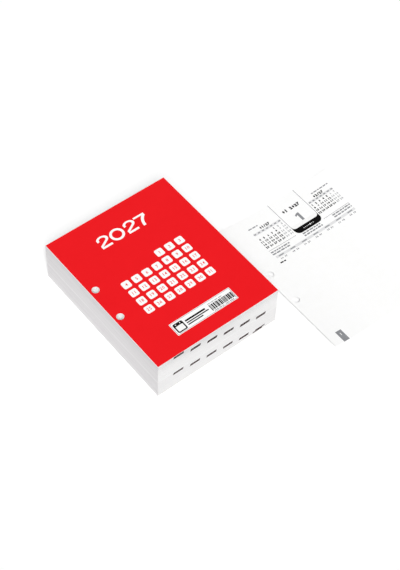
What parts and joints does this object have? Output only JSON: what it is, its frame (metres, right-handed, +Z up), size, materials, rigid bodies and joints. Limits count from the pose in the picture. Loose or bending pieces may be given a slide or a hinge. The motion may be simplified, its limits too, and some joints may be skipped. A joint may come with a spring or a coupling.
{
  "type": "tear-off day calendar",
  "caption": "Desk day calendar: a block of tear-off day leaves under a red card cover, punched and gummed along one edge, with month index marks on its foot edge and a torn leaf beside it.",
  "frame": {"origin": "middle of the block's underside, on the desk", "axes": "+X from the punched edge to the free edge, +Y from the foot of the page to its head, +Z up"},
  "size_m": [0.2271, 0.1755, 0.0352],
  "materials": {
    "cover_card": "satin printed card",
    "leaf_paper": "uncoated offset paper",
    "divider_card": "coated white sheet",
    "pale_board": "matt pale board",
    "padding_gum": "dried clear gum",
    "label_paper": "coated label paper"
  },
  "bodies": {
    "base": {"backing_board": "pale_board", "board_gum": "padding_gum"},
    "december": {"december_leaves": "leaf_paper", "december_gum": "padding_gum"},
    "november": {"november_leaves": "leaf_paper", "november_gum": "padding_gum"},
    "october": {"october_leaves": "leaf_paper", "october_gum": "padding_gum"},
    "september": {"september_leaves": "leaf_paper", "september_gum": "padding_gum"},
    "august": {"august_leaves": "leaf_paper", "august_gum": "padding_gum"},
    "july": {"july_leaves": "leaf_paper", "july_gum": "padding_gum", "half_year_divider": "divider_card", "divider_gum": "padding_gum"},
    "june": {"june_leaves": "leaf_paper", "june_gum": "padding_gum"},
    "may": {"may_leaves": "leaf_paper", "may_gum": "padding_gum"},
    "april": {"april_leaves": "leaf_paper", "april_gum": "padding_gum"},
    "march": {"march_leaves": "leaf_paper", "march_gum": "padding_gum"},
    "february": {"february_leaves": "leaf_paper", "february_gum": "padding_gum"},
    "january": {"january_leaves": "leaf_paper", "january_gum": "padding_gum"},
    "top_leaf": {"top_day_leaf": "leaf_paper", "top_leaf_gum": "padding_gum"},
    "cover": {"cover": "cover_card", "cover_gum": "padding_gum", "cover_label": "label_paper"},
    "torn_leaf": {"torn_day_leaf": "leaf_paper"}
  },
  "joints": [
    {"name": "december_turn", "type": "hinge", "parent": "base", "child": "december", "pos_m": [-0.05285, 0, 0.01758], "axis": [0, -1, 0], "range_deg": [0, 180]},
    {"name": "november_turn", "type": "hinge", "parent": "december", "child": "november", "pos_m": [-0.05285, 0, 0.01758], "axis": [0, -1, 0], "range_deg": [0, 180]},
    {"name": "october_turn", "type": "hinge", "parent": "november", "child": "october", "pos_m": [-0.05285, 0, 0.01758], "axis": [0, -1, 0], "range_deg": [0, 180]},
    {"name": "september_turn", "type": "hinge", "parent": "october", "child": "september", "pos_m": [-0.05285, 0, 0.01758], "axis": [0, -1, 0], "range_deg": [0, 180]},
    {"name": "august_turn", "type": "hinge", "parent": "september", "child": "august", "pos_m": [-0.05285, 0, 0.01758], "axis": [0, -1, 0], "range_deg": [0, 180]},
    {"name": "july_turn", "type": "hinge", "parent": "august", "child": "july", "pos_m": [-0.05285, 0, 0.01758], "axis": [0, -1, 0], "range_deg": [0, 180]},
    {"name": "june_turn", "type": "hinge", "parent": "july", "child": "june", "pos_m": [-0.05285, 0, 0.01758], "axis": [0, -1, 0], "range_deg": [0, 180]},
    {"name": "may_turn", "type": "hinge", "parent": "june", "child": "may", "pos_m": [-0.05285, 0, 0.01758], "axis": [0, -1, 0], "range_deg": [0, 180]},
    {"name": "april_turn", "type": "hinge", "parent": "may", "child": "april", "pos_m": [-0.05285, 0, 0.01758], "axis": [0, -1, 0], "range_deg": [0, 180]},
    {"name": "march_turn", "type": "hinge", "parent": "april", "child": "march", "pos_m": [-0.05285, 0, 0.01758], "axis": [0, -1, 0], "range_deg": [0, 180]},
    {"name": "february_turn", "type": "hinge", "parent": "march", "child": "february", "pos_m": [-0.05285, 0, 0.01758], "axis": [0, -1, 0], "range_deg": [0, 180]},
    {"name": "january_turn", "type": "hinge", "parent": "february", "child": "january", "pos_m": [-0.05285, 0, 0.01758], "axis": [0, -1, 0], "range_deg": [0, 180]},
    {"name": "top_leaf_turn", "type": "hinge", "parent": "january", "child": "top_leaf", "pos_m": [-0.05285, 0, 0.01758], "axis": [0, -1, 0], "range_deg": [0, 180]},
    {"name": "cover_turn", "type": "hinge", "parent": "top_leaf", "child": "cover", "pos_m": [-0.05285, 0, 0.01758], "axis": [0, -1, 0], "range_deg": [0, 180]},
    {"name": "torn_leaf_lift", "type": "slide", "parent": "base", "child": "torn_leaf", "axis": [0, 0, 1], "range_m": [0, 0.12]}
  ]
}
